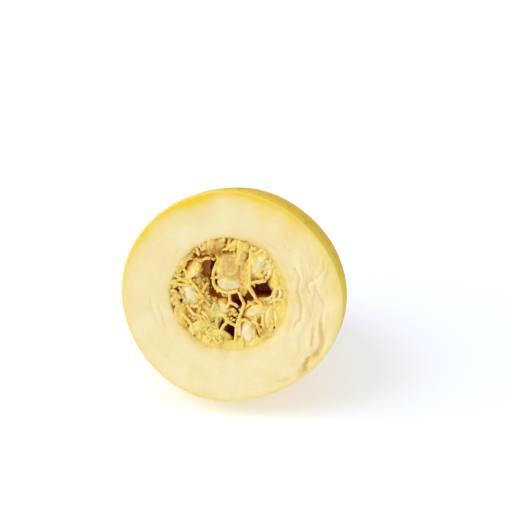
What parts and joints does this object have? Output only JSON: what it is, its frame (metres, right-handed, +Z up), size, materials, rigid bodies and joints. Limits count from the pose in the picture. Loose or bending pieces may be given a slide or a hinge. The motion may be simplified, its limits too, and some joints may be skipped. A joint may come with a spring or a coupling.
{
  "type": "spaghetti squash half",
  "caption": "Crosswise half of a ripe spaghetti squash lying on its side: smooth rind, dried stem, thick pale flesh, and a cut face with stringy pulp and flat seeds.",
  "frame": {"origin": "on the table under the middle of the whole half", "axes": "+Z up; the cut faces -Y and leans back; the stem end points to +Y and dips"},
  "size_m": [0.131, 0.1364, 0.1292],
  "materials": {
    "rind_and_flesh": "moist cut flesh with a smooth satin rind",
    "stem": "dry and corky",
    "pulp": "wet and stringy",
    "seed": "wet film over a smooth shell"
  },
  "bodies": {
    "root": {"squash_half": "rind_and_flesh", "stem": "stem", "pulp": "pulp", "seed_01": "seed", "seed_02": "seed", "seed_03": "seed", "seed_04": "seed", "seed_05": "seed", "seed_06": "seed", "seed_07": "seed", "seed_08": "seed", "seed_09": "seed", "seed_10": "seed", "seed_11": "seed", "seed_12": "seed", "seed_13": "seed", "seed_14": "seed", "seed_15": "seed", "seed_16": "seed", "seed_17": "seed", "seed_18": "seed"}
  },
  "joints": []
}
